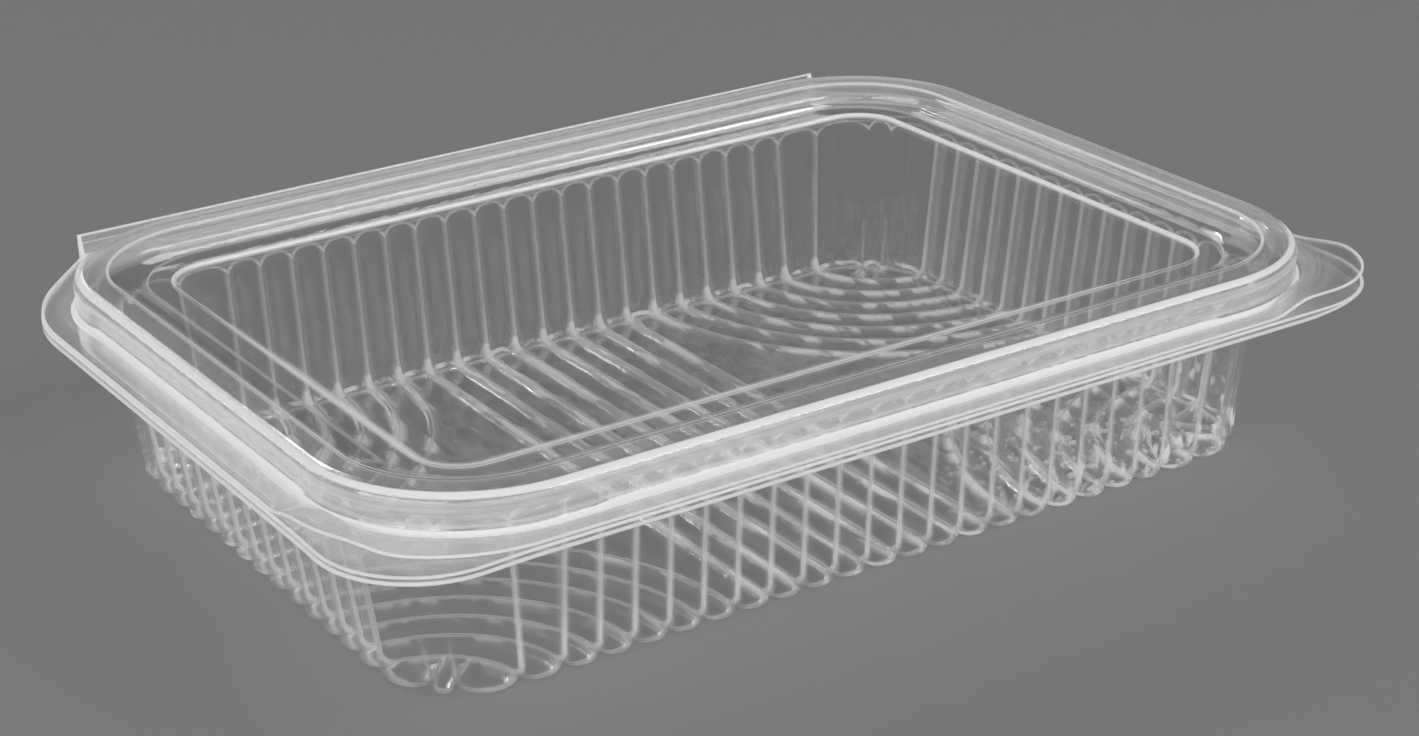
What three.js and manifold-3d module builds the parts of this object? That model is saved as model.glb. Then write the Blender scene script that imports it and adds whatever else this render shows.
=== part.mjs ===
// Clear hinged-lid food container, shut and empty. Millimetres, +Z up.
// X runs along the hinge, -Y is the side that opens, and the underside rests on z = 0.
import * as THREE from "three";
import Module from "manifold-3d";

const wasm = await Module();
wasm.setup();

// The one size that drives the rest: the width of one flute in the tray wall.
const PITCH = 6.0;
const SHEET = 0.4;

// Tray: outside of the wall at its foot and at its top, as half sizes of a rounded rectangle.
const FOOT = { hx: 13.2 * PITCH, hy: 9.1 * PITCH, r: 2.6 * PITCH };
const WALL_TOP = { hx: 13.86 * PITCH, hy: 9.5 * PITCH, r: 2.9 * PITCH };
const WALL_TOP_Z = 27.5;
const LONG_SIDE_CUSPS = 20;
const SHORT_SIDE_CUSPS = 12;
const FLUTE_DEPTH = 1.1;
const FLUTE_STEPS = 3;
const CORNER_LOBES = [
  { from: 0, to: 37.5, depth: 0.7, steps: 3 },
  { from: 37.5, to: 52.5, depth: 0.3, steps: 2 },
  { from: 52.5, to: 90, depth: 0.7, steps: 3 },
];
// Rows up the wall: height, how far the row sits inside the wall line, share of the flute depth.
const WALL_ROWS = [
  { z: 0, inset: 1.3, share: 0.6 },
  { z: 1.5, inset: 0, share: 1 },
  { z: 23, inset: 0, share: 1 },
  { z: 25.8, inset: 0, share: 0.75 },
  { z: WALL_TOP_Z, inset: 0, share: 0 },
];

// Floor ribs: straight ones across the middle, quarter rings about each corner.
const STRAIGHT_RIBS = 8;
const RING_RIBS = 7;
const FIRST_RING = 2.6 * PITCH;
const RIB = { width: 1.5, height: 0.75 };
const RIB_HOLLOW = { width: 1.1, height: 0.6, dip: 0.2 };
const RIB_END_GAP = 1.1;

// Rim of the tray: from the wall top up to the sealing ring and down to the flange.
// Each row is an outline (half sizes and corner radius) and the height of the sheet's middle.
const RIM_ROWS = [
  { hx: 84.0, hy: 57.8, r: 18.2, z: 31.0 },
  { hx: 85.0, hy: 58.9, r: 19.3, z: 33.5 },
  { hx: 85.9, hy: 60.0, r: 20.4, z: 34.3 },
  { hx: 86.4, hy: 63.4, r: 23.6, z: 34.7 },
  { hx: 87.4, hy: 64.2, r: 24.6, z: 34.0 },
  { hx: 87.4, hy: 64.2, r: 24.6, z: 30.3 },
  { hx: 88.4, hy: 65.2, r: 25.6, z: 29.4 },
];

// Flange: lobes at the front corners. At the back its corners run straight to the hinge.
const FLANGE = { hx: 15.69 * PITCH, front: 11.64 * PITCH, back: 72.2, z: 29.4 };
const LOBE_CORNER = 2.8 * PITCH;
const PLAIN_CORNER = 5 * PITCH;
const BACK_CORNER = { r: 5.5 * PITCH, turn: 40 };

// Lid, from the middle of the panel outwards.
const LID_ROWS = [
  { hx: 72.2, hy: 48.2, r: 7.8, z: 32.7 },
  { hx: 72.8, hy: 48.8, r: 8.4, z: 33.2 },
  { hx: 77.0, hy: 54.0, r: 14.6, z: 33.2 },
  { hx: 77.7, hy: 54.7, r: 15.3, z: 33.9 },
  { hx: 82.2, hy: 58.8, r: 19.4, z: 35.5 },
  { hx: 83.2, hy: 59.8, r: 20.4, z: 36.0 },
  { hx: 87.6, hy: 64.6, r: 25.2, z: 36.2 },
  { hx: 88.5, hy: 65.6, r: 26.1, z: 35.5 },
  { hx: 88.5, hy: 65.4, r: 25.9, z: 33.4 },
  { hx: 88.3, hy: 65.2, r: 25.7, z: 30.9 },
  { hx: 89.3, hy: 66.2, r: 26.7, z: 30.15 },
];
const LID_FLANGE = { back: 71.6, z: 30.15 };
const TAB_LIFT = 2.0;
const TAB_LENGTH = 20;

// Hinge: thin leaves along the back edge, as lines in Y and Z. The fold is at the top.
const HINGE_HALF = 12.75 * PITCH;
const HINGE_SHEET = 0.35;
const TRAY_LEAF = [[70.8, FLANGE.z], [72.0, FLANGE.z], [73.2, 31.6]];
const TRAY_PANEL = [[73.2, 28.7], [73.2, 33.5]];
const LID_LEAF = [[70.6, LID_FLANGE.z], [71.4, 30.2], [72.75, 33.7]];

const CORNER_STEPS = 6;

// Points on an arc about a centre, between two turns in degrees.
function arc([cx, cy], r, from, to, z) {
  const points = [];
  for (let step = 0; step <= CORNER_STEPS; step += 1) {
    const turn = (from + (to - from) * step / CORNER_STEPS) * Math.PI / 180;
    points.push([cx + r * Math.cos(turn), cy + r * Math.sin(turn), z]);
  }
  return points;
}

// A rounded rectangle, counter-clockwise from its +X side.
function outline({ hx, hy, r, z }) {
  return [
    ...arc([hx - r, hy - r], r, 0, 90, z),
    ...arc([r - hx, hy - r], r, 90, 180, z),
    ...arc([r - hx, r - hy], r, 180, 270, z),
    ...arc([hx - r, r - hy], r, 270, 360, z),
  ];
}

// The flange's edge, with a radius for each front corner and the place of the back edge.
function flangeEdge({ left, right, back }, z) {
  const { hx, front } = FLANGE;
  const { r, turn } = BACK_CORNER;
  return [
    ...arc([hx - r, FLANGE.back - r], r, 0, turn, z),
    [HINGE_HALF, back, z],
    [-HINGE_HALF, back, z],
    ...arc([r - hx, FLANGE.back - r], r, 180 - turn, 180, z),
    ...arc([left - hx, left - front], left, 180, 270, z),
    ...arc([hx - right, right - front], right, 270, 360, z),
  ];
}

// Where the flutes of one side meet, along that side, from one corner to the other.
function cusps(reach, regular) {
  const inner = (regular - 1) / 2;
  const places = [-reach];
  for (let place = -inner; place <= inner; place += 1) {
    places.push(place * PITCH);
  }
  places.push(reach);
  return places;
}

// The points of one fluted side, as [place along the side, bulge].
function flutedSide({ reach, regular }, share) {
  const places = cusps(reach, regular);
  const points = [];
  for (let flute = 0; flute < places.length - 1; flute += 1) {
    for (let step = 0; step < FLUTE_STEPS; step += 1) {
      const part = step / FLUTE_STEPS;
      const along = places[flute] + part * (places[flute + 1] - places[flute]);
      points.push([along, share * FLUTE_DEPTH * Math.sin(Math.PI * part)]);
    }
  }
  return points;
}

// The fluted wall's outline at one height. The four sides and corners follow each other.
function flutedOutline({ hx, hy, r, z, share }) {
  const reachX = hx - r;
  const reachY = hy - r;
  const sides = [
    { reach: reachY, regular: SHORT_SIDE_CUSPS, at: (s, b) => [hx + b, s] },
    { reach: reachX, regular: LONG_SIDE_CUSPS, at: (s, b) => [-s, hy + b] },
    { reach: reachY, regular: SHORT_SIDE_CUSPS, at: (s, b) => [-hx - b, -s] },
    { reach: reachX, regular: LONG_SIDE_CUSPS, at: (s, b) => [s, -hy - b] },
  ];
  const centres = [[reachX, reachY], [-reachX, reachY], [-reachX, -reachY], [reachX, -reachY]];
  const points = [];
  sides.forEach((side, index) => {
    for (const [along, bulge] of flutedSide(side, share)) {
      points.push([...side.at(along, bulge), z]);
    }
    const [cx, cy] = centres[index];
    for (const lobe of CORNER_LOBES) {
      for (let step = 0; step < lobe.steps; step += 1) {
        const part = step / lobe.steps;
        const turn = (index * 90 + lobe.from + part * (lobe.to - lobe.from)) * Math.PI / 180;
        const reach = r + share * lobe.depth * Math.sin(Math.PI * part);
        points.push([cx + reach * Math.cos(turn), cy + reach * Math.sin(turn), z]);
      }
    }
  });
  return points;
}

// The wall's rows, shifted inwards by the sheet for the inner skin.
function wallRow({ z, inset, share }, shift) {
  const part = z / WALL_TOP_Z;
  const size = (key) => FOOT[key] + part * (WALL_TOP[key] - FOOT[key]) - inset - shift;
  return flutedOutline({ hx: size("hx"), hy: size("hy"), r: size("r"), z, share });
}

function turnOf([x, y]) {
  const turn = Math.atan2(y * FOOT.hx, x * FOOT.hy);
  return turn < -1e-9 ? turn + 2 * Math.PI : turn;
}

// A loop that starts at its first point past the +X axis, with each point's turn.
function sorted(loop) {
  const turns = loop.map(turnOf);
  const start = turns.indexOf(Math.min(...turns));
  const order = loop.map((_, index) => (index + start) % loop.length);
  return { points: order.map((i) => loop[i]), turns: order.map((i) => turns[i]) };
}

// A closed solid from a chain of loops: out along the underside and back over the top.
function chainSolid(loops) {
  const vertices = [];
  const triangles = [];
  const chain = loops.map((loop) => {
    const { points, turns } = sorted(loop);
    const first = vertices.length;
    vertices.push(...points);
    return { first, count: points.length, turns: [...turns, turns[0] + 2 * Math.PI] };
  });
  const cap = (ring, z, flip) => {
    const centre = vertices.push([0, 0, z]) - 1;
    for (let i = 0; i < ring.count; i += 1) {
      const a = ring.first + i;
      const b = ring.first + (i + 1) % ring.count;
      triangles.push(flip ? [centre, b, a] : [centre, a, b]);
    }
  };
  for (let index = 0; index < chain.length - 1; index += 1) {
    zip(chain[index], chain[index + 1], triangles);
  }
  cap(chain[0], loops[0][0][2], true);
  cap(chain[chain.length - 1], loops[loops.length - 1][0][2], false);
  return solid(vertices, triangles);
}

// Joins two loops, whatever their numbers of points, in step with their turns.
function zip(inner, outer, triangles) {
  let i = 0;
  let j = 0;
  while (i < inner.count || j < outer.count) {
    const a = inner.first + i % inner.count;
    const b = outer.first + j % outer.count;
    const takeInner = j === outer.count
      || (i < inner.count && inner.turns[i + 1] <= outer.turns[j + 1]);
    if (takeInner) {
      i += 1;
      triangles.push([a, inner.first + i % inner.count, b]);
    } else {
      j += 1;
      triangles.push([a, outer.first + j % outer.count, b]);
    }
  }
}

function solid(vertices, triangles) {
  return new wasm.Manifold(new wasm.Mesh({
    numProp: 3,
    vertProperties: Float32Array.from(vertices.flat()),
    triVerts: Uint32Array.from(triangles.flat()),
  }));
}

// Unit normals to the left of a line of 2-D points, lengthened at bends.
function leftNormals(line) {
  const unit = (a, b) => {
    const length = Math.hypot(b[0] - a[0], b[1] - a[1]);
    return [(b[0] - a[0]) / length, (b[1] - a[1]) / length];
  };
  return line.map((point, index) => {
    const before = index > 0 ? unit(line[index - 1], point) : unit(point, line[index + 1]);
    const after = index < line.length - 1 ? unit(point, line[index + 1]) : before;
    const mean = [before[0] + after[0], before[1] + after[1]];
    const scale = 2 / (mean[0] ** 2 + mean[1] ** 2);
    return [-mean[1] * scale, mean[0] * scale];
  });
}

// The two skins of a sheet whose middle follows the rows, measured along Y and Z.
function skins(rows) {
  const normals = leftNormals(rows.map((row) => [row.hy, row.z]));
  const shifted = (side) => rows.map((row, index) => {
    const out = side * normals[index][0] * SHEET / 2;
    const up = side * normals[index][1] * SHEET / 2;
    return { hx: row.hx + out, hy: row.hy + out, r: row.r + out, z: row.z + up };
  });
  return { upper: shifted(1), lower: shifted(-1) };
}

// A bar with a three-cornered section that follows a path on the floor.
function bar(path, width, bottom, top) {
  const normals = leftNormals(path);
  const vertices = [];
  path.forEach(([x, y], index) => {
    const [nx, ny] = normals[index].map((value) => value * width / 2);
    vertices.push([x - nx, y - ny, bottom], [x + nx, y + ny, bottom], [x, y, top]);
  });
  const triangles = [[0, 2, 1]];
  for (let at = 0; at < vertices.length - 3; at += 3) {
    for (let side = 0; side < 3; side += 1) {
      const a = at + side;
      const b = at + (side + 1) % 3;
      triangles.push([a, b, b + 3], [a, b + 3, a + 3]);
    }
  }
  const last = vertices.length - 3;
  triangles.push([last, last + 1, last + 2]);
  return solid(vertices, triangles);
}

// A folded strip along X whose middle follows a line in Y and Z.
function leaf(line) {
  const normals = leftNormals(line);
  const side = (sign) => line.map(([y, z], index) => [
    y + sign * normals[index][0] * HINGE_SHEET / 2,
    z + sign * normals[index][1] * HINGE_SHEET / 2,
  ]);
  const section = [...side(1), ...side(-1).reverse()];
  const count = section.length;
  const vertices = [-HINGE_HALF, HINGE_HALF].flatMap((x) => section.map(([y, z]) => [x, y, z]));
  const triangles = [];
  for (let i = 0; i < count; i += 1) {
    const next = (i + 1) % count;
    triangles.push([i, i + count, next + count], [i, next + count, next]);
  }
  for (let i = 0; i < line.length - 1; i += 1) {
    const far = count - 1 - i;
    triangles.push([i, i + 1, far], [i + 1, far - 1, far]);
    triangles.push([i + count, far + count, i + 1 + count]);
    triangles.push([i + 1 + count, far + count, far - 1 + count]);
  }
  return solid(vertices, triangles);
}

function ribPaths() {
  const paths = [];
  const half = (STRAIGHT_RIBS - 1) / 2;
  const reach = FOOT.hy - RIB_END_GAP;
  for (let place = -half; place <= half; place += 1) {
    paths.push([[place * PITCH, -reach], [place * PITCH, reach]]);
  }
  for (let ring = 0; ring < RING_RIBS; ring += 1) {
    const radius = FIRST_RING + ring * PITCH;
    const steps = 3 + Math.floor(ring / 3);
    const skip = Math.asin(RIB_END_GAP / radius);
    for (const [sx, sy] of [[1, 1], [-1, 1], [-1, -1], [1, -1]]) {
      const path = [];
      for (let step = 0; step <= steps; step += 1) {
        const turn = skip + (Math.PI / 2 - 2 * skip) * step / steps;
        path.push([
          sx * (FOOT.hx - radius * Math.cos(turn)),
          sy * (FOOT.hy - radius * Math.sin(turn)),
        ]);
      }
      paths.push(path);
    }
  }
  return paths;
}

function makeTray() {
  const { upper, lower } = skins(RIM_ROWS);
  const edge = { left: LOBE_CORNER, right: LOBE_CORNER, back: FLANGE.back };
  const inner = WALL_ROWS.map((row, index) => {
    const lifted = index === 0 ? { ...row, z: SHEET } : row;
    return wallRow(lifted, SHEET);
  });
  let tray = chainSolid([
    ...WALL_ROWS.map((row) => wallRow(row, 0)),
    ...lower.map(outline),
    flangeEdge(edge, FLANGE.z - SHEET / 2),
    flangeEdge(edge, FLANGE.z + SHEET / 2),
    ...upper.map(outline).reverse(),
    ...inner.reverse(),
  ]);
  for (const path of ribPaths()) {
    tray = tray.add(bar(path, RIB.width, SHEET / 2, SHEET + RIB.height));
  }
  for (const path of ribPaths()) {
    tray = tray.subtract(bar(path, RIB_HOLLOW.width, -RIB_HOLLOW.dip, RIB_HOLLOW.height));
  }
  return tray.add(leaf(TRAY_LEAF)).add(leaf(TRAY_PANEL));
}

// The lid's pull tab curls up at the front corner on the +X side.
function curled(loop) {
  const tip = FLANGE.hx + FLANGE.front - (2 - Math.SQRT2) * LOBE_CORNER;
  return loop.map(([x, y, z]) => {
    const share = Math.max(0, 1 - (tip - (x - y)) / TAB_LENGTH);
    return [x, y, z + TAB_LIFT * share];
  });
}

function makeLid() {
  const { upper, lower } = skins(LID_ROWS);
  const edge = { left: PLAIN_CORNER, right: LOBE_CORNER, back: LID_FLANGE.back };
  const lid = chainSolid([
    ...lower.map(outline),
    curled(flangeEdge(edge, LID_FLANGE.z - SHEET / 2)),
    curled(flangeEdge(edge, LID_FLANGE.z + SHEET / 2)),
    ...upper.map(outline).reverse(),
  ]);
  return lid.add(leaf(LID_LEAF));
}

function meshOf(name, made) {
  const { vertProperties, numProp, triVerts } = made.getMesh();
  const positions = new Float32Array(vertProperties.length / numProp * 3);
  for (let i = 0; i < positions.length / 3; i += 1) {
    positions.set(vertProperties.subarray(i * numProp, i * numProp + 3), i * 3);
  }
  const geometry = new THREE.BufferGeometry();
  geometry.setAttribute("position", new THREE.BufferAttribute(positions, 3));
  geometry.setIndex(new THREE.BufferAttribute(Uint32Array.from(triVerts), 1));
  const material = new THREE.MeshStandardMaterial({ color: 0xdfe6e8, roughness: 0.15 });
  const mesh = new THREE.Mesh(geometry, material);
  mesh.name = name;
  return mesh;
}

const container = new THREE.Group();
container.name = "container";
container.add(meshOf("tray", makeTray()));
container.add(meshOf("lid", makeLid()));

export default container;
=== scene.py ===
"""Looks of a clear hinged-lid food container, shut and empty. Lengths here are millimetres."""
import math

import bmesh
import bpy
import numpy as np
from mathutils import Matrix, Vector
from mathutils.geometry import delaunay_2d_cdt


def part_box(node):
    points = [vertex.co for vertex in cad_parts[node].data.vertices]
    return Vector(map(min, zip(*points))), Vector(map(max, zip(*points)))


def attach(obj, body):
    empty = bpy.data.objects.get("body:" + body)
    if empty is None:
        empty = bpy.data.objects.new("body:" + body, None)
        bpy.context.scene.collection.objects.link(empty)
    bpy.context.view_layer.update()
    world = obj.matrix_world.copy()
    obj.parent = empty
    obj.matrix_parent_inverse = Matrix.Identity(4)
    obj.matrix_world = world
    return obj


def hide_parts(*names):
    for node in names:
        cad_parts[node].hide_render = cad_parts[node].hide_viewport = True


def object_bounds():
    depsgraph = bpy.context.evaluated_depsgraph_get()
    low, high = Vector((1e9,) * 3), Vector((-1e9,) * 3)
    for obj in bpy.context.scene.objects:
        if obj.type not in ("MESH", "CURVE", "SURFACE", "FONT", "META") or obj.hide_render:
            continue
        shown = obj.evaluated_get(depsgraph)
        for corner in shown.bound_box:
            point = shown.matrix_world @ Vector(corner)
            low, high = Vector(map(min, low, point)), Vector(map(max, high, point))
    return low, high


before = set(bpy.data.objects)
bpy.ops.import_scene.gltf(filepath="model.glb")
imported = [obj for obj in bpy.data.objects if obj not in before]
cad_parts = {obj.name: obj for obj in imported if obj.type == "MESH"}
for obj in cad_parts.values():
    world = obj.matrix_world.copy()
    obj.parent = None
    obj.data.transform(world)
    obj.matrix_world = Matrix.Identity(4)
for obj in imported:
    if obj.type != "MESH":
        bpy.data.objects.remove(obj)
CAD_BOX = [list(corner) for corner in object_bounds()]
MM = 0.001

# ---------------------------------------------------------------- driving dimensions
TRAY_LOW, TRAY_HIGH = (np.array(corner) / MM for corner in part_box("tray"))
FLANGE_HX = float(TRAY_HIGH[0])
FLANGE_FRONT = float(-TRAY_LOW[1])
PITCH = FLANGE_HX / 15.69
SHEET = 0.35

# Tray wall where its flutes meet, as half sizes and corner radius at its foot and its top.
FOOT = np.array([13.05, 8.9, 2.4]) * PITCH
WALL_TOP = np.array([13.7, 9.3, 2.7]) * PITCH
WALL_TOP_Z = 27.5
LONG_CUSPS = 20
SHORT_CUSPS = 12
CORNER_CUSP_TURNS = np.array([0.0, 37.5, 52.5, 90.0])
FOOT_FILLET = 2.4
RIDGE_HEIGHT = 0.95
FLOOR_RIDGE_WIDTH = 0.45
RIDGE_TOP = RIDGE_HEIGHT + SHEET / 2
RINGS = 7
STRAIGHT_RIDGES = 8

# Rims, from the inside out: half sizes, corner radius and height of the sheet, and how far
# from the bend its rounding starts.
TRAY_RIM = np.array([
    [84.0, 57.8, 18.2, 31.0, 0.6],
    [85.0, 58.9, 19.3, 33.5, 0.6],
    [85.9, 60.0, 20.4, 34.3, 0.6],
    [86.4, 63.4, 23.6, 34.7, 0.6],
    [87.4, 64.2, 24.6, 34.0, 0.6],
    [87.4, 64.2, 24.6, 30.3, 0.6],
    [88.4, 65.2, 25.6, 29.4, 0.6],
])
LID_RIM = np.array([
    [70.7, 46.7, 6.3, 32.7, 0.2],
    [72.3, 48.3, 7.9, 32.7, 0.15],
    [72.7, 48.7, 8.3, 33.2, 0.15],
    [77.0, 54.0, 14.6, 33.2, 0.3],
    [77.7, 54.7, 15.3, 33.9, 0.4],
    [82.2, 58.8, 19.4, 35.5, 0.4],
    [83.2, 59.8, 20.4, 36.0, 0.4],
    [87.2, 64.1, 25.0, 36.2, 0.5],
    [88.5, 65.5, 26.0, 35.1, 0.5],
    [88.5, 65.4, 25.9, 33.4, 0.4],
    [88.3, 65.2, 25.7, 30.9, 0.4],
    [89.3, 66.2, 26.7, 30.15, 0.4],
])
# How milky a rim is, as haze and as painted highlight stripes: bands by their place across it,
# each with its start, end and share. The last band is the flange.
TRAY_BANDS = [
    [0.0, 2.6, 0.015], [2.7, 2.9, 0.25], [3.0, 8.4, 0.04], [8.5, 8.8, 0.3],
    [8.9, 10.4, 0.06], [10.5, 10.9, 0.5], [11.0, 12.0, 0.12],
]
LID_BANDS = [
    [1.95, 2.4, 0.95], [2.5, 6.2, 0.012], [6.35, 6.55, 0.5], [6.65, 12.9, 0.02],
    [13.15, 13.4, 0.9], [13.5, 17.0, 0.09], [17.1, 17.5, 0.0], [17.65, 18.5, 1.0],
    [18.6, 19.0, 0.15], [19.1, 20.6, 0.3], [20.7, 23.0, 0.2], [23.1, 23.3, 0.0],
    [23.4, 24.2, 1.0], [24.3, 24.5, 0.0], [24.6, 25.5, 0.2],
]
# The length that the bands' places are shares of. The hinge's places come after it.
RIM_SPAN = 34.0
FLANGE_HAZE_AND_SHEEN = 0.22
EDGE_LINE = 0.42
LIP_DEPTH = 1.1
TRAY_FLANGE_Z, LID_FLANGE_Z = 29.4, 30.15
BACK_EDGE, LID_BACK_EDGE = 72.2, 71.6
HINGE_HALF = 12.75 * PITCH
LOBE_R, PLAIN_R, BACK_R = 2.8 * PITCH, 4.4 * PITCH, 5.5 * PITCH
BACK_TURN = 40.0
TAB_LIFT, EAR_LIFT, LOBE_DROP = 2.0, 1.4, 0.4

# Hinge: lines in Y and Z of its leaves. The fold between the two bodies is at the top.
TRAY_LEAF = [[72.2, 29.4], [72.4, 29.6], [73.1, 31.9]]
TRAY_PANEL = [[73.2, 28.8], [73.2, 33.4]]
LID_LEAF = [[71.6, 30.15], [71.8, 30.5], [72.75, 33.6]]
LEAF_ROUNDING = 0.5
LEAF_STEPS = 41
CUT_STEPS = np.array([0.0, 0.3, 0.4])
CUT_WIDTH = 0.35
FREE_EDGE = 0.12


def smooth(value):
    """The smooth step of a value between 0 and 1."""
    value = np.clip(value, 0.0, 1.0)
    return value * value * (3 - 2 * value)


# ---------------------------------------------------------------- mesh gathering
class Sheet:
    """Grids and faces of a thin sheet, joined where their points meet.
    A point is x, y, z, how milky the sheet is there (its haze and painted highlight lines), and its
    place across a rim."""

    def __init__(self):
        self.blocks = []
        self.faces = []
        self.count = 0

    def points(self, block):
        first = self.count
        self.blocks.append(np.asarray(block, float).reshape(-1, 5))
        self.count += len(self.blocks[-1])
        return first

    def grid(self, rows, closed=False):
        """rows has the shape (rows, columns, 5). closed joins each row's end to its start."""
        count, width = rows.shape[:2]
        first = self.points(rows)
        for row in range(count - 1):
            for column in range(width if closed else width - 1):
                a = first + row * width + column
                b = first + row * width + (column + 1) % width
                self.faces.append((a, b, b + width, a + width))

    def add(self, points, faces):
        first = self.points(points)
        self.faces.extend(tuple(first + corner for corner in face) for face in faces)

    def piece(self, name, thickness=SHEET):
        mesh = bpy.data.meshes.new(name)
        points = np.concatenate(self.blocks)
        mesh.from_pydata((points[:, :3] * MM).tolist(), [], self.faces)
        # The first attribute holds the sheet's haze and its painted highlight lines.
        for name_of, values in (("sheet_haze_and_highlight", points[:, 3]), ("rim_place", points[:, 4])):
            layer = mesh.attributes.new(name_of, "FLOAT", "POINT")
            layer.data.foreach_set("value", values.astype(np.float32))
        work = bmesh.new()
        work.from_mesh(mesh)
        bmesh.ops.remove_doubles(work, verts=work.verts, dist=0.004 * MM)
        bmesh.ops.recalc_face_normals(work, faces=work.faces)
        work.to_mesh(mesh)
        work.free()
        made = bpy.data.objects.new(name, mesh)
        bpy.context.scene.collection.objects.link(made)
        solid = made.modifiers.new("sheet", "SOLIDIFY")
        solid.thickness = thickness * MM
        solid.offset = 0
        shaped = made.evaluated_get(bpy.context.evaluated_depsgraph_get())
        made.data = bpy.data.meshes.new_from_object(shaped)
        made.modifiers.clear()
        made.data.shade_smooth()
        return made


# ---------------------------------------------------------------- the tray's wall
# Columns across a flute stand at these distances from its cusps, closest where it turns.
NEAR_CUSP = np.array([0.0, 0.22, 0.45, 0.75, 1.2, 1.9])
FLUTE_WIDTH = 6
FLUTE_SHARES = np.concatenate([
    NEAR_CUSP / FLUTE_WIDTH, [0.5], 1 - NEAR_CUSP[:0:-1] / FLUTE_WIDTH,
])
NEAR_LOBE = np.array([0, 0.02, 0.045, 0.08, 0.125, 0.18, 0.24, 0.3, 0.37, 0.44])
LOBE_SHARES = np.concatenate([NEAR_LOBE, [0.5], 1 - NEAR_LOBE[:0:-1]])


def between(edges, shares):
    """Places between neighbouring edges, each with its share of the gap and the gap's width."""
    gaps = np.diff(edges)
    places = (edges[:-1, None] + gaps[:, None] * shares).ravel()
    return places, np.tile(shares, len(gaps)), np.repeat(gaps, len(shares))


def side_edges(reach, count):
    row = (np.arange(count) - (count - 1) / 2) * PITCH
    return np.concatenate([[-reach], row, [reach]])


def fluted_loop(size):
    """Columns round the wall: point, outward normal, share, cell width and corner turn."""
    hx, hy, r = size
    sides = [(hx, hy - r, SHORT_CUSPS), (hy, hx - r, LONG_CUSPS)] * 2
    parts = []
    for index, (out, reach, count) in enumerate(sides):
        turn = index * math.pi / 2
        outward = np.array([math.cos(turn), math.sin(turn)])
        along = np.array([-math.sin(turn), math.cos(turn)])
        place, share, width = between(side_edges(reach, count), FLUTE_SHARES)
        parts.append((
            out * outward + place[:, None] * along,
            np.tile(outward, (len(place), 1)), share, width, np.full(len(place), -1.0),
        ))
        degrees, share, width = between(CORNER_CUSP_TURNS, LOBE_SHARES)
        angle = turn + np.radians(degrees)
        ray = np.column_stack([np.cos(angle), np.sin(angle)])
        centre = outward * (out - r) + along * reach
        parts.append((centre + r * ray, ray, share, np.radians(width) * r, degrees))
    return [np.concatenate(column) for column in zip(*parts)]


FOOT_LOOP = fluted_loop(FOOT)
TOP_LOOP = fluted_loop(WALL_TOP)
NORMAL, SHARE, WIDTH, TURN = FOOT_LOOP[1:]
ACROSS = 2 * SHARE - 1
NEAR = np.minimum(SHARE, 1 - SHARE) * WIDTH
RIM_COLUMNS = np.flatnonzero((TURN >= 0) | (SHARE == 0) | (SHARE == 0.5))

FLUTE_SWELL = 1.15
RIDGE_DEPTH = 0.65
RIDGE_WIDTH = 0.40
CREASE_WIDTH = 0.28
LOBE_SWELL = 1.35
FOOT_SQUARENESS = 0.4
FOOT_STEPS = 13
OUTLINE_AT, OUTLINE_WIDTH = 0.66, 0.09
ARCH_FOOT, ARCH_RISE, ARCH_FALL = 27.4, 1.7, 1.5
ARCH = ARCH_FOOT + ARCH_RISE * (1 - ACROSS ** 2) ** 0.7
BAND_SHARES = (0.85, 0.55, 0.3, 0.12, 0.02)
ARCH_DROPS = (0, 0.06, 0.16, 0.32, 0.55, 0.85, 1.2, 1.6, 2.2)
WALL_SHARES = (0.08, 0.2, 0.34, 0.48, 0.62, 0.74, 0.84, 0.93, 1.0)


def wall_line(z):
    """Points of the line that the cusps lie on, at a height for each column."""
    part = np.broadcast_to(z, SHARE.shape)[:, None] / WALL_TOP_Z
    return FOOT_LOOP[0] + part * (TOP_LOOP[0] - FOOT_LOOP[0])


def wall_bulge(z):
    """How far the wall stands out from its cusps: shallow flutes between sharp ridges."""
    z = np.broadcast_to(z, SHARE.shape)
    dome = np.sqrt(1 - np.clip(1 - (ARCH - z) / ARCH_FALL, 0, 1) ** 2)
    ridge = RIDGE_DEPTH * (1 - np.exp(-(NEAR / RIDGE_WIDTH) ** 2))
    flute = FLUTE_SWELL * (1 - ACROSS ** 2) + ridge
    left = (TURN >= CORNER_CUSP_TURNS[1]) & (SHARE < 0.5)
    right = (TURN >= 0) & (TURN < CORNER_CUSP_TURNS[2]) & (SHARE >= 0.5)
    lobe = LOBE_SWELL * np.sin(np.radians(2 * np.clip(TURN, 0, 90))) ** 0.5
    fade = 0.9 * above_foot(z)
    return np.where(left | right, flute + fade * (lobe - flute), flute) * dome


def above_foot(z):
    """0 at the foot, where a corner has cusps of its own, rising to 1 where it is one lobe."""
    return smooth((z - 2.5) / 8.0)


def painted_crease_highlight(near, width):
    """Painted highlight beside a ridge: a bright pale line in place of the light that the crease
    refracts and reflects.
    """
    return 0.85 * np.exp(-(near / width) ** 2)


def painted_ridge_sheen():
    """A soft painted sheen on one side of each ridge of the wall."""
    return 0.14 * np.exp(-((NEAR - 1.0) / 0.45) ** 4) * (SHARE > 0.5)


def wall_painted_highlights(z):
    """Painted highlight lines along the wall's ridges, and where the arches meet."""
    strength = 0.6 + 0.4 * smooth((14 - z) / 12)
    below_arch = ARCH - z > -0.01
    cusp = (strength * painted_crease_highlight(NEAR, CREASE_WIDTH) + painted_ridge_sheen()) * below_arch
    inner = (TURN > 1) & (TURN < 89)
    behind = NORMAL[:, 1] > 0.5
    cusp = cusp * np.where(inner, 0.3 - 0.25 * above_foot(z), 1 - 0.3 * behind)
    arch = np.exp(-((ARCH - z) / 0.3) ** 2) * (0.25 + 0.7 * np.exp(-(NEAR / 0.8) ** 2))
    return np.maximum(cusp, arch)


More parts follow.
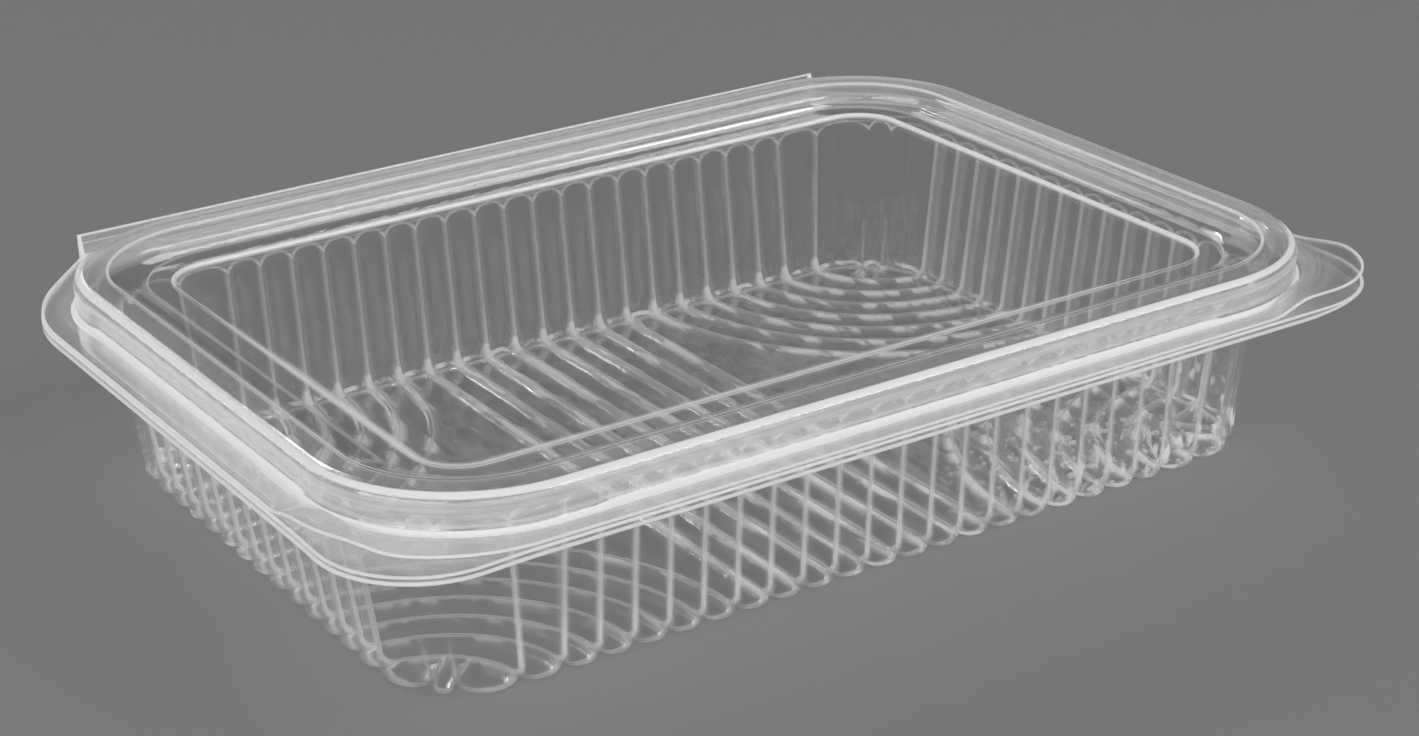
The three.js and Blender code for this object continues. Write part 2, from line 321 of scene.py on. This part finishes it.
def wall_row(z):
    z = np.broadcast_to(z, SHARE.shape)
    line = wall_line(z) + NORMAL * wall_bulge(z)[:, None]
    return np.column_stack([line, z, wall_painted_highlights(z), np.zeros(len(z))])


def foot_rows():
    """The rounded foot, from the wall down to the edge of the floor."""
    knee = RIDGE_TOP + FOOT_FILLET
    swell = wall_bulge(knee)
    squareness = 1 - FOOT_SQUARENESS * swell / (FLUTE_SWELL + RIDGE_DEPTH)
    for share in np.linspace(0, 1, FOOT_STEPS + 1)[1:]:
        tilt = share * math.pi / 2
        bulge = swell + (floor_drop(NEAR) - swell) * smooth((share - 0.4) / 0.6)
        out, down = math.cos(tilt) ** squareness, math.sin(tilt) ** squareness
        line = wall_line(knee) + NORMAL * ((FOOT_FILLET + bulge) * out - FOOT_FILLET)[:, None]
        z = np.maximum(knee - (FOOT_FILLET + bulge) * down, SHEET / 2)
        yield np.column_stack([line, z, foot_painted_highlights(share, knee), np.zeros(len(z))])


def foot_painted_highlights(share, knee):
    """Painted highlights on the foot: spots below the back wall's ridges, and a line along each
    flute's rounded edge.
    """
    straight = (TURN < 1) | (TURN > 89)
    behind = np.clip(NORMAL[:, 1], 0.05, 1) * straight
    # A painted highlight spot at the foot of each ridge of the back wall.
    highlight_spot = 1.6 * math.sin(share * math.pi) * np.exp(-(NEAR / 0.5) ** 2) * behind
    outline = 0.5 * math.exp(-((share - OUTLINE_AT) / OUTLINE_WIDTH) ** 2) * smooth(NEAR / 0.8)
    return np.clip(np.maximum(wall_painted_highlights(knee) * (1 - 0.6 * share) + highlight_spot, outline), 0, 1)


def wall_rows():
    """Rows from the smooth band above the arches down to the edge of the floor."""
    band = TRAY_RIM[0, 3] - ARCH
    rows = [wall_row(ARCH + share * band) for share in BAND_SHARES]
    rows += [wall_row(ARCH - drop) for drop in ARCH_DROPS]
    top = ARCH - ARCH_DROPS[-1]
    knee = RIDGE_TOP + FOOT_FILLET
    rows += [wall_row(top + share * (knee - top)) for share in WALL_SHARES]
    return np.array(rows + list(foot_rows()))


# ---------------------------------------------------------------- the tray's floor
# Width and strength of the painted highlight lines along the floor's ridges.
FLOOR_CREASE, FLOOR_HIGHLIGHT = 0.17, 0.6


def floor_drop(near):
    """How far the floor lies below the ridges' crests, by the distance from the nearest."""
    ridge = 1 - np.exp(-(near / FLOOR_RIDGE_WIDTH) ** 2)
    hollow = 1 - (1 - np.minimum(near / PITCH * 2, 1)) ** 2
    return RIDGE_HEIGHT * (0.55 * ridge + 0.45 * hollow)


def floor_ridges():
    """The ridges' crests as lines: straight ones, quarter rings, and two spokes a corner."""
    hx, hy, r = FOOT + (WALL_TOP - FOOT) * (RIDGE_TOP + FOOT_FILLET) / WALL_TOP_Z
    reach = hy - FOOT_FILLET
    lines = []
    for place in (np.arange(STRAIGHT_RIDGES) - (STRAIGHT_RIDGES - 1) / 2) * PITCH:
        y = np.linspace(-reach, reach, 60)
        lines.append(np.column_stack([np.full(60, place), y]))
    for sx in (-1, 1):
        for sy in (-1, 1):
            lines += [ring_line(ring, hx, hy, r) * [sx, sy] for ring in range(RINGS)]
            lines += [spoke * [sx, sy] for spoke in spokes(hx, hy, r)]
    return lines


def ring_line(ring, hx, hy, r):
    """A quarter of an ellipse about the sharp foot corner, from the long wall to the short."""
    x = hx - r if ring == 0 else ((LONG_CUSPS + 1) / 2 - ring) * PITCH
    y = hy - r if ring == 0 else ((SHORT_CUSPS + 1) / 2 - ring) * PITCH
    a, b = hx - x, hy - y
    turn = np.linspace(math.asin(FOOT_FILLET / b), math.acos(FOOT_FILLET / a), 14 + 6 * ring)
    line = np.column_stack([hx - a * np.cos(turn), hy - b * np.sin(turn)])
    ease = np.linspace(0, 1, len(line))
    line[:, 0] += (x - line[0, 0]) * np.clip(1 - 4 * ease, 0, 1) ** 2
    line[:, 1] += (y - line[-1, 1]) * np.clip(4 * ease - 3, 0, 1) ** 2
    return line


def spokes(hx, hy, r):
    """Short ridges from the corner's two inner cusps towards the middle of the tray."""
    lines = []
    for turn in np.radians(CORNER_CUSP_TURNS[1:3]):
        ray = np.array([math.cos(turn), math.sin(turn)])
        start = np.array([hx - r, hy - r]) + (r - FOOT_FILLET) * ray
        end = np.array([hx, hy]) - r * ray[::-1]
        lines.append(start + np.linspace(0, 1, 7)[:, None] * (end - start))
    return lines


def distance(points, lines):
    """The distance of each point from the nearest of the lines."""
    best = np.full(len(points), 1e9)
    for line in lines:
        start, run = line[:-1], np.diff(line, axis=0)
        offset = points[:, None] - start[None]
        share = np.clip((offset * run).sum(-1) / (run ** 2).sum(-1), 0, 1)
        gap = np.linalg.norm(offset - share[..., None] * run, axis=-1)
        best = np.minimum(best, gap.min(1))
    return best


def beside(line, offset):
    """A line's points moved sideways."""
    run = np.gradient(line, axis=0)
    run /= np.linalg.norm(run, axis=1)[:, None]
    return line + offset * np.column_stack([-run[:, 1], run[:, 0]])


def inside(points, loop):
    """Which points lie inside a closed loop."""
    ahead = np.roll(loop, -1, axis=0)
    x, y = points[:, :1], points[:, 1:]
    crosses = (loop[:, 1] > y) != (ahead[:, 1] > y)
    rise = np.where(ahead[:, 1] == loop[:, 1], 1, ahead[:, 1] - loop[:, 1])
    at = loop[:, 0] + (y - loop[:, 1]) / rise * (ahead[:, 0] - loop[:, 0])
    return (crosses & (x < at)).sum(1) % 2 == 1


def floor_points(loop, lines):
    """Points on the ridges' crests and beside them, clear of each other and of the loop."""
    made = [line[1:-1] for line in lines]
    for flank in NEAR_CUSP[1:]:
        rows = np.concatenate([beside(line, side * flank) for line in lines for side in (-1, 1)])
        made.append(rows[distance(rows, lines) > flank - 0.06])
    made = np.concatenate(made)
    made = made[inside(made, loop)]
    return made[distance(made, [np.vstack([loop, loop[:1]])]) > 0.15]


def floor_mesh(edge):
    """The floor inside the wall's last row."""
    loop = edge[:, :2]
    lines = floor_ridges()
    points = np.concatenate([loop, floor_points(loop, lines)])
    count = len(loop)
    edges = [(index, (index + 1) % count) for index in range(count)]
    made = delaunay_2d_cdt([Vector(point) for point in points], edges, [], 1, 1e-5)
    flat = np.array([vertex[:] for vertex in made[0]])
    near = distance(flat, lines)
    height = RIDGE_TOP - floor_drop(near)
    # Painted highlight lines along the floor's ridges.
    haze_and_highlight = FLOOR_HIGHLIGHT * painted_crease_highlight(near, FLOOR_CREASE)
    floor = np.column_stack([flat, height, haze_and_highlight, np.zeros(len(flat))])
    for index, sources in enumerate(made[3]):
        if sources and sources[0] < count:
            floor[index] = edge[sources[0]]
    return floor, made[2]


# ---------------------------------------------------------------- rims and flanges
CORNER_STEPS = 32
FROM_CORNER = np.array([1.0, 2.0, 3.0, 4.0, 5.0, 6.5, 8.0, 9.5, 12.0, 20.0])


def rim_loop(size):
    """A rounded rectangle's columns: point and outward normal."""
    hx, hy, r = size
    points, normals = [], []
    for index, (out, reach) in enumerate([(hx, hy - r), (hy, hx - r)] * 2):
        turn = index * math.pi / 2
        outward = np.array([math.cos(turn), math.sin(turn)])
        along = np.array([-math.sin(turn), math.cos(turn)])
        place = np.concatenate([FROM_CORNER - reach, [0], reach - FROM_CORNER[::-1]])
        points.append(out * outward + place[:, None] * along)
        normals.append(np.tile(outward, (len(place), 1)))
        angle = turn + np.radians(np.linspace(0, 90, CORNER_STEPS + 1))
        ray = np.column_stack([np.cos(angle), np.sin(angle)])
        points.append(outward * (out - r) + along * reach + r * ray)
        normals.append(ray)
    return np.concatenate(points), np.concatenate(normals)


def eased(rows, steps=6):
    """Rows with their bends rounded. A row is its sizes, its height and its rounding.
    What comes back has the place across the rim instead of the rounding."""
    made = [rows[0, :-1]]
    for before, bend, after in zip(rows[:-2], rows[1:-1], rows[2:]):
        start = toward(bend, before)
        end = toward(bend, after)
        for share in np.linspace(0, 1, steps):
            rest = 1 - share
            made.append(rest ** 2 * start + 2 * share * rest * bend[:-1] + share ** 2 * end)
    made.append(rows[-1, :-1])
    made = np.array(made)
    steps_out = np.hypot(np.diff(made[:, 0]), np.diff(made[:, -1]))
    return np.column_stack([made, np.concatenate([[0], np.cumsum(steps_out)])])


def toward(bend, other):
    """The point where a bend's rounding starts, on the way to a neighbouring row."""
    run = other[:-1] - bend[:-1]
    return bend[:-1] + run * min(bend[-1] / math.hypot(run[0], run[-1]), 0.45)


def flange_edge(left, right, back):
    """The flange's outline, counter-clockwise from the back corner on the +X side."""
    def arc(centre, r, start, end):
        turn = np.radians(np.linspace(start, end, 49))
        return np.array(centre) + r * np.column_stack([np.cos(turn), np.sin(turn)])
    hx, front = FLANGE_HX, FLANGE_FRONT
    return np.concatenate([
        arc((hx - BACK_R, BACK_EDGE - BACK_R), BACK_R, 0, BACK_TURN),
        [[HINGE_HALF, back], [-HINGE_HALF, back]],
        arc((BACK_R - hx, BACK_EDGE - BACK_R), BACK_R, 180 - BACK_TURN, 180),
        arc((left - hx, left - front), left, 180, 270),
        arc((hx - right, right - front), right, 270, 360),
    ])


def cast(points, normals, outline):
    """How far each point is from the outline, along its normal."""
    run = np.roll(outline, -1, axis=0) - outline
    gap = outline[None] - points[:, None]
    cross = normals[:, None, 0] * run[:, 1] - normals[:, None, 1] * run[:, 0]
    cross = np.where(np.abs(cross) < 1e-12, 1e-12, cross)
    reach = (gap[..., 0] * run[:, 1] - gap[..., 1] * run[:, 0]) / cross
    share = (gap[..., 0] * normals[:, None, 1] - gap[..., 1] * normals[:, None, 0]) / cross
    hit = (share >= -1e-9) & (share <= 1 + 1e-9) & (reach > 0)
    return np.where(hit, reach, 1e9).min(1)


FLANGE_SHARES = (0.1, 0.25, 0.45, 0.65, 0.85)


def flange_rows(points, normals, outline, z, place, lift):
    """Rows of a flange out to its outline. lift raises or lowers its points."""
    reach = cast(points, normals, outline)
    rows = []
    for share in FLANGE_SHARES:
        flat = points + normals * (share * (reach - EDGE_LINE))[:, None]
        rows.append(level(flat, z + lift(flat), flange_haze_and_sheen(flat), place + share * reach))
    # The outermost rows are a painted highlight line along the flange's edge.
    for inset, haze_and_highlight in ((EDGE_LINE, 0.1), (EDGE_LINE - 0.1, 1), (0.1, 1), (0, 1)):
        flat = points + normals * (reach - inset)[:, None]
        rows.append(level(flat, z + lift(flat), haze_and_highlight, place + reach - inset))
    return rows


def flange_haze_and_sheen(flat):
    """The flange is milky at the front and clearer at the pull tab and towards the back: partly the
    sheet's own haze, partly painted sheen.
    """
    x, y = flat.T
    clearer = np.maximum(smooth((y + 15) / 50), smooth((x - 68) / 15))
    return FLANGE_HAZE_AND_SHEEN * (1 - 0.85 * clearer)


def lobe_share(flat, side, length):
    """0 away from a front corner's lobe, rising to 1 at its tip."""
    tip = FLANGE_HX + FLANGE_FRONT - (2 - math.sqrt(2)) * LOBE_R
    return smooth(1 - (tip - (side * flat[:, 0] - flat[:, 1])) / length)


def tray_lift(flat):
    """The tray's flange drops a little at the corner lobe on the -X side."""
    return -LOBE_DROP * lobe_share(flat, -1, 16.0)


def lid_lift(flat):
    """The lid's flange steps up to the pull tab, and lifts a little at the other corner."""
    x, y = flat.T
    tab = TAB_LIFT * smooth((x - 65) / 8) * smooth((-42 - y) / 16)
    ear = EAR_LIFT * smooth((-38 - y) / 8) * smooth((y + 64) / 8) * smooth((-84 - x) / 8)
    return tab + ear


def level(points, z, haze_and_highlight=0.0, place=0.0):
    """Points at a height, with the same or their own milkiness, painted highlights included, and
    place across the rim.
    """
    count = len(points)
    return np.column_stack([points] + [np.broadcast_to(value, count) for value in (z, haze_and_highlight, place)])


def make_tray():
    sheet = Sheet()
    wall = wall_rows()
    sheet.grid(wall, closed=True)
    sheet.add(*floor_mesh(wall[-1]))
    normals = fluted_loop(TRAY_RIM[-1, :3])[1][RIM_COLUMNS]
    rows = [level(fluted_loop(row[:3])[0][RIM_COLUMNS], row[3], 0, row[4])
            for row in eased(TRAY_RIM)]
    edge = flange_edge(LOBE_R, LOBE_R, BACK_EDGE)
    last = rows[-1]
    rows += flange_rows(last[:, :2], normals, edge, TRAY_FLANGE_Z, last[0, 4], tray_lift)
    rows += lip_rows(rows[-1])
    sheet.grid(np.array(rows), closed=True)
    sheet.add(*seam(wall[0], rows[0]))
    for line in (TRAY_LEAF, TRAY_PANEL):
        sheet.grid(leaf(line))
    return sheet.piece("tray_sheet")


def lip_rows(edge):
    """The flange's edge turns down, except at the back and at the pull tab."""
    x, y = edge[:, 0], edge[:, 1]
    depth = LIP_DEPTH * smooth((60 - y) / 15) * (1 - 0.8 * smooth((x - 72) / 12) * (y < -40))
    # The lower part of the lip is a painted highlight line.
    for share, haze_and_highlight in ((0.1, 0.1), (0.55, 0.1), (0.63, 1), (0.8, 1), (1.0, 1)):
        yield level(edge[:, :2], edge[:, 2] - depth * share, haze_and_highlight, edge[:, 4])


def seam(fine, coarse):
    """Faces between the wall's first row and the rim's, which has only some of its columns."""
    faces = []
    count, rim = len(fine), len(coarse)
    ends = np.append(RIM_COLUMNS, RIM_COLUMNS[0] + count)
    for column in range(rim):
        run = [index % count for index in range(ends[column], ends[column + 1] + 1)]
        faces.append((*run, count + (column + 1) % rim, count + column))
    return np.vstack([fine, coarse]), faces


PANEL_EDGE, PANEL_EDGE_REACH = 2.2, 0.6
BEAD_DEPTH = 0.6
BEAD_TOP, BEAD_STEP = 33.9, 0.7
FIRST_OUTER_ROW = 88
PANEL_INSETS = (24, 12, 4, 1.2)
LONG_RECESS, SHORT_RECESS = 56.0, 37.8


def lid_row(row):
    """A row of the lid. The outer wall stands out in a bead round each corner."""
    points, normals = rim_loop(row[:3])
    if row[0] < FIRST_OUTER_ROW:
        return level(points, row[3], 0, panel_place(points, row[4]))
    share = smooth((BEAD_TOP - row[3]) / BEAD_STEP) * smooth((row[3] - 30.2) / 0.6)
    long_side = np.abs(normals[:, 1]) > 0.999
    short_side = np.abs(normals[:, 0]) > 0.999
    recess = smooth((LONG_RECESS - np.abs(points[:, 0])) / 2 + 0.5) * long_side
    recess += smooth((SHORT_RECESS - np.abs(points[:, 1])) / 2 + 0.5) * short_side
    return level(points - normals * (BEAD_DEPTH * share * recess)[:, None], row[3], 0, row[4])


def panel_place(points, place):
    """The place across the rim, spread at the panel's edge towards the back and the right,
    so that the painted highlight line along the edge is thinner there."""
    x, y = points.T
    thinner = np.maximum(smooth((y - 10) / 25), smooth((x - 40) / 20))
    spread = 1 + 1.2 * thinner * (place < PANEL_EDGE + PANEL_EDGE_REACH)
    return PANEL_EDGE + (place - PANEL_EDGE) * spread


def make_lid():
    sheet = Sheet()
    rows = []
    for inset in PANEL_INSETS:
        size = LID_RIM[0, :3] - [inset, inset, min(inset, 6)]
        rows.append(level(rim_loop(size)[0], LID_RIM[0, 3]))
    rows += [lid_row(row) for row in eased(LID_RIM)]
    points, normals = rim_loop(LID_RIM[-1, :3])
    edge = flange_edge(PLAIN_R, LOBE_R, LID_BACK_EDGE)
    rows += flange_rows(points, normals, edge, LID_FLANGE_Z, rows[-1][0, 4], lid_lift)
    sheet.grid(np.array(rows), closed=True)
    sheet.add(rows[0], [tuple(range(len(rows[0])))])
    sheet.grid(leaf(LID_LEAF))
    return sheet.piece("lid_sheet")


# ---------------------------------------------------------------- hinge
def leaf(line):
    """A strip along the hinge whose section follows a line in Y and Z, its bends rounded."""
    section = eased(np.array([[y, z, LEAF_ROUNDING] for y, z in line]))
    first = section[0] + (section[1] - section[0]) * FREE_EDGE
    last = section[-1] + (section[-2] - section[-1]) * FREE_EDGE
    section = np.vstack([section[:1], first, section[1:-1], last, section[-1:]])
    x = np.linspace(-HINGE_HALF, HINGE_HALF, LEAF_STEPS)
    x = np.concatenate([x[0] + CUT_STEPS, x[1:-1], (x[-1] - CUT_STEPS)[::-1]])
    # The hinge's cut ends and free edges carry painted highlight lines.
    cut_ends = np.where(np.abs(x) > HINGE_HALF - CUT_WIDTH, 1.0, 0)
    rows = []
    for index, (y, z, place) in enumerate(section):
        free = 0.8 if index in (0, len(section) - 1) else 0.03
        flat = np.column_stack([x, np.full(len(x), y)])
        rows.append(level(flat, z, np.maximum(cut_ends, free), RIM_SPAN + place))
    return np.array(rows)


# ---------------------------------------------------------------- materials
class Nodes:
    """A material's nodes, made and linked with one call each."""

    def __init__(self, name):
        self.material = bpy.data.materials.new(name)
        self.material.use_nodes = True
        self.tree = self.material.node_tree
        self.tree.nodes.clear()

    def add(self, kind, **sockets):
        """kind is a node type without its prefix. A socket takes a value or another's output."""
        made = self.tree.nodes.new("ShaderNode" + kind)
        for name, value in sockets.items():
            socket = made.inputs[int(name[1:])] if name[0] == "_" else made.inputs[name]
            if isinstance(value, bpy.types.NodeSocket):
                self.tree.links.new(value, socket)
            else:
                socket.default_value = value
        return made

    def math(self, operation, *values):
        made = self.add("Math", **{f"_{index}": value for index, value in enumerate(values)})
        made.operation = operation
        return made.outputs[0]

    def noise(self, place, scale, detail):
        return self.add("TexNoise", Vector=place, Scale=scale, Detail=detail).outputs["Fac"]

    def scaled(self, place, factors):
        made = self.add("VectorMath", _0=place, _1=factors)
        made.operation = "MULTIPLY"
        return made.outputs[0]

    def ramp(self, value, start, end, low=0.0, high=1.0):
        return self.add(
            "MapRange", Value=value, _1=start, _2=end, _3=low, _4=high,
        ).outputs[0]

    def value(self, attribute):
        made = self.add("Attribute")
        made.attribute_name = attribute
        return made.outputs["Fac"]

    def mix(self, share, first, second):
        return self.add("MixShader", _0=share, _1=first, _2=second).outputs[0]


# In metres, as the material's coordinates are.
FLOOR_TOP = 0.0011
CALM_CORNER, CALM_REACH, CALM_EDGE = (-0.080, -0.052, 0.0), 0.045, 0.025
# The white of the sheet's haze and of its painted highlights.
HAZE_AND_HIGHLIGHT_WHITE = (0.94, 0.94, 0.94, 1)


def rim_haze_and_highlights(nodes, across, streaks, bands):
    """How milky the rim is, band by band, as haze and painted highlight stripes, with fine streaks
    along it in the paler bands.
    """
    shares = nodes.add("ValToRGB", Fac=nodes.math("DIVIDE", across, RIM_SPAN))
    ramp = shares.color_ramp
    ramp.elements[0].color = ramp.elements[1].color = (0, 0, 0, 1)
    for start, end, share in bands:
        for place in (start, end):
            ramp.elements.new(place / RIM_SPAN).color = (share, share, share, 1)
    uneven = nodes.math("MULTIPLY_ADD", streaks, 1.8, 0.1)
    paler = nodes.math("LESS_THAN", shares.outputs["Color"], 0.7)
    gain = nodes.add("Mix", Factor=paler, A=1.0, B=uneven).outputs[0]
    return nodes.math("MULTIPLY", shares.outputs["Color"], gain)


def streaks_along(nodes, place, across):
    """Uneven streaks that run along a rim and change quickly across it."""
    across = nodes.add("CombineXYZ", X=across).outputs[0]
    along = nodes.scaled(place, (8.0, 8.0, 8.0))
    streak_at = nodes.add("VectorMath", _0=across, _1=along).outputs[0]
    return nodes.noise(streak_at, 1.6, 2.0)


def away_from_corner(nodes, place):
    """0 near the floor's corner on the -X, -Y side, where its ridges are faint, and 1 beyond."""
    gap = nodes.add("VectorMath", _0=place, _1=CALM_CORNER)
    gap.operation = "DISTANCE"
    return nodes.ramp(gap.outputs["Value"], CALM_REACH, CALM_REACH + CALM_EDGE)


def relief(nodes, place, across, streaks, swirls, rippled, flange):
    """The sheet's fine unevenness: streaks on a rim, ripples on the floor, drawn walls."""
    drawn = nodes.noise(nodes.scaled(place, (1.0, 1.0, 0.04)), 700.0, 1.0)
    ripples = nodes.math("MULTIPLY", swirls, rippled)
    body = nodes.math("MULTIPLY_ADD", ripples, 0.3, nodes.math("MULTIPLY", drawn, 0.02))
    on_rim = nodes.math("GREATER_THAN", across, 0.02)
    on_flange = nodes.math("GREATER_THAN", across, flange)
    depth = nodes.math("MULTIPLY_ADD", on_flange, -0.016, 0.018)
    height = nodes.add("Mix", Factor=on_rim, A=body, B=nodes.math("MULTIPLY", streaks, depth))
    bump = nodes.add("Bump", Strength=1.0, Distance=0.001, Height=height.outputs[0])
    return bump.outputs["Normal"]


def painted_floor_glints(nodes, swirls, height, low, away):
    """Painted highlights: bright dashes along the floor's ridges, in place of reflected light."""
    flank = nodes.ramp(height, 0.00038, 0.00062)
    glint = nodes.ramp(swirls, 0.48, 0.56, 0.14, 1.0)
    share = nodes.math("MULTIPLY", low, nodes.math("MULTIPLY_ADD", away, 0.8, 0.2))
    return nodes.math("MULTIPLY", nodes.math("MULTIPLY", flank, glint), share)


def painted_foot_glints(nodes, place, x, y, z):
    """Painted glints: bright flecks at the foot of the front wall, on the +X side."""
    foot_glint = nodes.ramp(nodes.noise(nodes.scaled(place, (1.0, 1.0, 0.45)), 560.0, 1.0),
                       0.58, 0.68, 0.0, 0.8)
    to_right = nodes.ramp(x, 0.01, 0.045)
    to_front = nodes.ramp(y, -0.02, -0.036)
    to_foot = nodes.ramp(z, 0.014, 0.006)
    placed = nodes.math("MULTIPLY", to_right, nodes.math("MULTIPLY", to_front, to_foot))
    return nodes.math("MULTIPLY", foot_glint, placed)


def clear_sheet(name, bands):
    """Clear pressed plastic: see-through, with a sheet's reflection, a milky haze, and painted
    highlights at its bends, on the floor and at the foot.
    """
    nodes = Nodes(name)
    place = nodes.add("TexCoord").outputs["Object"]
    parts = nodes.add("SeparateXYZ", Vector=place).outputs
    across = nodes.value("rim_place")
    streaks = streaks_along(nodes, place, across)
    swirls = nodes.noise(nodes.scaled(place, (1.0, 0.22, 1.0)), 340.0, 1.0)
    low = nodes.math("LESS_THAN", parts["Z"], FLOOR_TOP)
    away = away_from_corner(nodes, place)
    rippled = nodes.math("MULTIPLY", low, away)
    bump = relief(nodes, place, across, streaks, swirls, rippled, bands[-1][0])
    calm = nodes.math("MULTIPLY", nodes.math("SUBTRACT", 1.0, away), low)
    roughness = nodes.math("MULTIPLY_ADD", calm, 0.15, 0.045)

    facing = nodes.add("LayerWeight", Blend=0.5, Normal=bump).outputs["Facing"]
    gloss_share = nodes.math("MULTIPLY_ADD", nodes.math("POWER", facing, 4.0), 0.8, 0.06)
    through = nodes.add("BsdfTransparent", Color=(0.985, 0.985, 0.985, 1)).outputs[0]
    gloss = nodes.add("BsdfGlossy", Color=(1, 1, 1, 1), Roughness=roughness, Normal=bump)
    # The pale shader shows the haze and the painted highlights.
    haze_and_highlight = nodes.mix(
        0.4, nodes.add("BsdfDiffuse", Color=HAZE_AND_HIGHLIGHT_WHITE).outputs[0],
        nodes.add("BsdfTranslucent", Color=HAZE_AND_HIGHLIGHT_WHITE).outputs[0],
    )
    # The haze grows towards grazing, and the painted highlight lines, dashes, flecks and rim
    # stripes raise it.
    haze_and_highlight_share = nodes.math("MULTIPLY_ADD", facing, 0.03, 0.006)
    for more in (
        nodes.value("sheet_haze_and_highlight"),
        painted_floor_glints(nodes, swirls, parts["Z"], low, away),
        painted_foot_glints(nodes, place, *parts),
        rim_haze_and_highlights(nodes, across, streaks, bands),
    ):
        haze_and_highlight_share = nodes.math("MAXIMUM", haze_and_highlight_share, more)
    seen = nodes.mix(haze_and_highlight_share, nodes.mix(gloss_share, through, gloss.outputs[0]), haze_and_highlight)
    shade = nodes.add("BsdfTransparent", Color=(0.93, 0.93, 0.93, 1)).outputs[0]
    surface = nodes.mix(nodes.add("LightPath").outputs["Is Shadow Ray"], seen, shade)
    nodes.add("OutputMaterial", Surface=surface)
    return nodes.material


FLOOR_REACH, FLOOR_GAP = 3.0, 0.05 * MM
FLOOR_GREY = (0.26, 0.26, 0.26, 1)


def plain_floor():
    mesh = bpy.data.meshes.new("studio_floor")
    corners = [(-FLOOR_REACH, -FLOOR_REACH), (FLOOR_REACH, -FLOOR_REACH),
               (FLOOR_REACH, FLOOR_REACH), (-FLOOR_REACH, FLOOR_REACH)]
    mesh.from_pydata([(x, y, -FLOOR_GAP) for x, y in corners], [], [(0, 1, 2, 3)])
    floor = bpy.data.objects.new("studio_floor", mesh)
    bpy.context.scene.collection.objects.link(floor)
    nodes = Nodes("studio_grey")
    matt = nodes.add("BsdfDiffuse", Color=FLOOR_GREY).outputs[0]
    nodes.add("OutputMaterial", Surface=matt)
    mesh.materials.append(nodes.material)


# ---------------------------------------------------------------- light and camera
# Each soft box has its name, place, size and radiance, in metres.
SOFT_BOXES = [
    ("back_left_softbox", (-0.50, 1.87, 1.04), (1.8, 1.1), 2.1),
    ("back_softbox", (0.44, 1.75, 1.26), (0.24, 0.30), 11.0),
    ("right_softbox", (1.0, -0.9, 1.5), (1.1, 0.7), 4.9),
    ("front_softbox", (0.1, -2.0, 0.9), (2.4, 1.4), 1.6),
    ("left_softbox", (-2.0, -0.6, 0.85), (2.2, 1.5), 2.8),
]
LIGHT_AIM = Vector((0, 0, 0.02))
WORLD_STRENGTH = 0.08
# The camera's azimuth, elevation and roll, in degrees.
CAMERA_ANGLES = (32.931, 22.942, -1.364)
CAMERA_DISTANCE = 0.48017
CAMERA_SENSOR, CAMERA_LENS = 36.0, 72.98
LOOKED_AT = Vector((2.785, -3.69, -3.74)) * MM


def area_light(name, place, size, radiance):
    """A soft box that looks at the container."""
    light = bpy.data.lights.new(name, "AREA")
    light.shape = "RECTANGLE"
    light.size, light.size_y = size
    light.energy = math.pi * size[0] * size[1] * radiance
    made = bpy.data.objects.new(name, light)
    bpy.context.scene.collection.objects.link(made)
    made.location = place
    aim = LIGHT_AIM - made.location
    made.rotation_euler = aim.to_track_quat("-Z", "Y").to_euler()


def studio():
    """A dim plain world and the soft boxes."""
    world = bpy.data.worlds.new("studio")
    bpy.context.scene.world = world
    world.use_nodes = True
    background = world.node_tree.nodes["Background"]
    background.inputs["Color"].default_value = (1, 1, 1, 1)
    background.inputs["Strength"].default_value = WORLD_STRENGTH
    for box in SOFT_BOXES:
        area_light(*box)


def camera():
    """The camera, which looks at a point a little off the middle of the CAD box."""
    azimuth, elevation, roll = (math.radians(value) for value in CAMERA_ANGLES)
    view = Vector((
        math.sin(azimuth) * math.cos(elevation),
        math.cos(azimuth) * math.cos(elevation),
        -math.sin(elevation),
    ))
    middle = Vector([(low + high) / 2 for low, high in zip(*CAD_BOX)])
    target = middle + LOOKED_AT
    lens = bpy.data.cameras.new("camera")
    lens.sensor_width = CAMERA_SENSOR
    lens.lens = CAMERA_LENS
    made = bpy.data.objects.new("camera", lens)
    bpy.context.scene.collection.objects.link(made)
    turn = view.to_track_quat("-Z", "Y").to_matrix() @ Matrix.Rotation(roll, 3, "Z")
    made.matrix_world = Matrix.Translation(target - view * CAMERA_DISTANCE) @ turn.to_4x4()
    bpy.context.scene.camera = made


def main():
    tray, lid = make_tray(), make_lid()
    tray.data.materials.append(clear_sheet("clear_tray_sheet", TRAY_BANDS))
    lid.data.materials.append(clear_sheet("clear_lid_sheet", LID_BANDS))
    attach(tray, "tray_body")
    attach(lid, "lid_body")
    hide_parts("tray")
    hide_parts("lid")
    plain_floor()
    studio()
    camera()
    scene = bpy.context.scene
    scene.cycles.transparent_max_bounces = 64
    scene.cycles.max_bounces = 3
    scene.cycles.diffuse_bounces = 2
    scene.cycles.glossy_bounces = 2
    scene.cycles.adaptive_threshold = 0.05
    scene.view_settings.view_transform = "Standard"


main()
